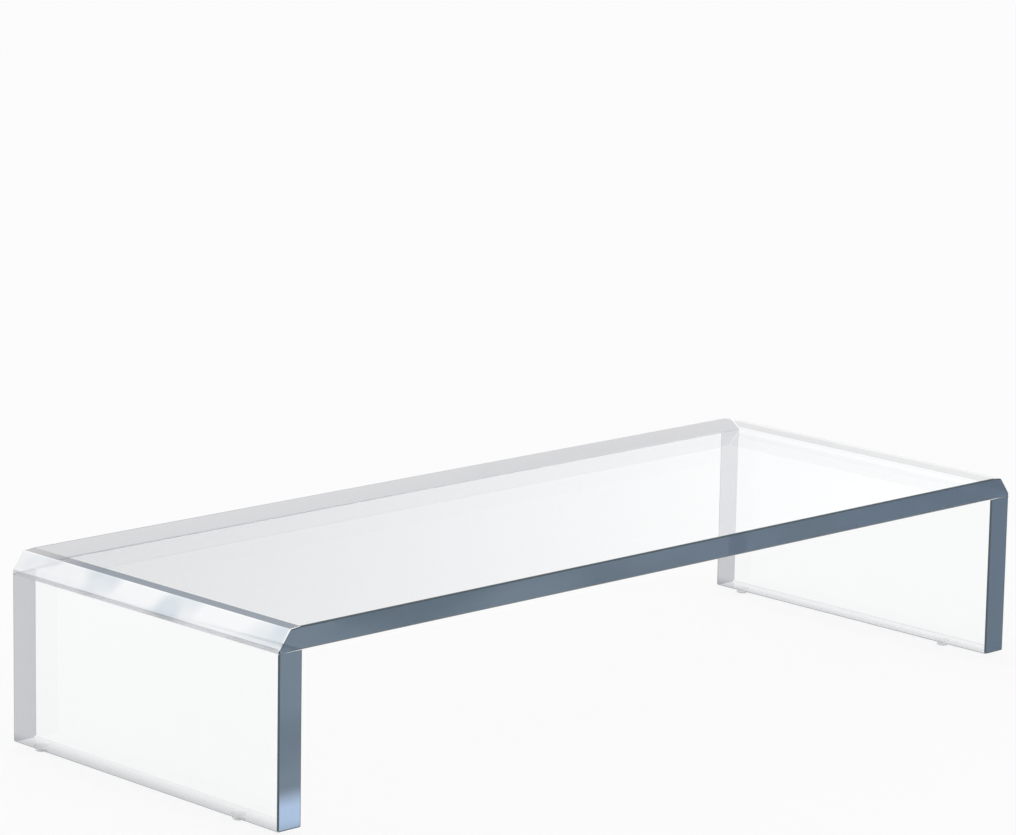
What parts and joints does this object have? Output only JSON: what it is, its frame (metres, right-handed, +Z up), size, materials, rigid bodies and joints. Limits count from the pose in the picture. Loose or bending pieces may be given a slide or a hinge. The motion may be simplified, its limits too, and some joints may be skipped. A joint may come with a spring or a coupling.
{
  "type": "monitor riser stand",
  "caption": "Clear acrylic desk riser: a chamfered flat shelf cemented onto slab legs, with small clear bumper feet, that lifts a monitor or laptop above the desk.",
  "frame": {"origin": "on the desk, under the middle of the stand", "axes": "+X across the width to the right as seen from the front, +Y to the rear, +Z up"},
  "size_m": [0.54, 0.21, 0.1047],
  "materials": {
    "clear_acrylic": "clear cast acrylic sheet, polished faces and edges, faint blue-grey tint through long paths",
    "joint_cement": "clear cured acrylic cement, a hairline in each corner joint",
    "clear_bumper": "soft clear polyurethane, slightly satin",
    "foot_adhesive": "thin clear pressure-sensitive adhesive"
  },
  "bodies": {
    "root": {"shelf_plate": "clear_acrylic", "left_leg": "clear_acrylic", "right_leg": "clear_acrylic", "left_joint_cement": "joint_cement", "right_joint_cement": "joint_cement", "front_left_foot": "clear_bumper", "front_right_foot": "clear_bumper", "rear_left_foot": "clear_bumper", "rear_right_foot": "clear_bumper", "front_left_foot_film": "foot_adhesive", "front_right_foot_film": "foot_adhesive", "rear_left_foot_film": "foot_adhesive", "rear_right_foot_film": "foot_adhesive"}
  },
  "joints": []
}
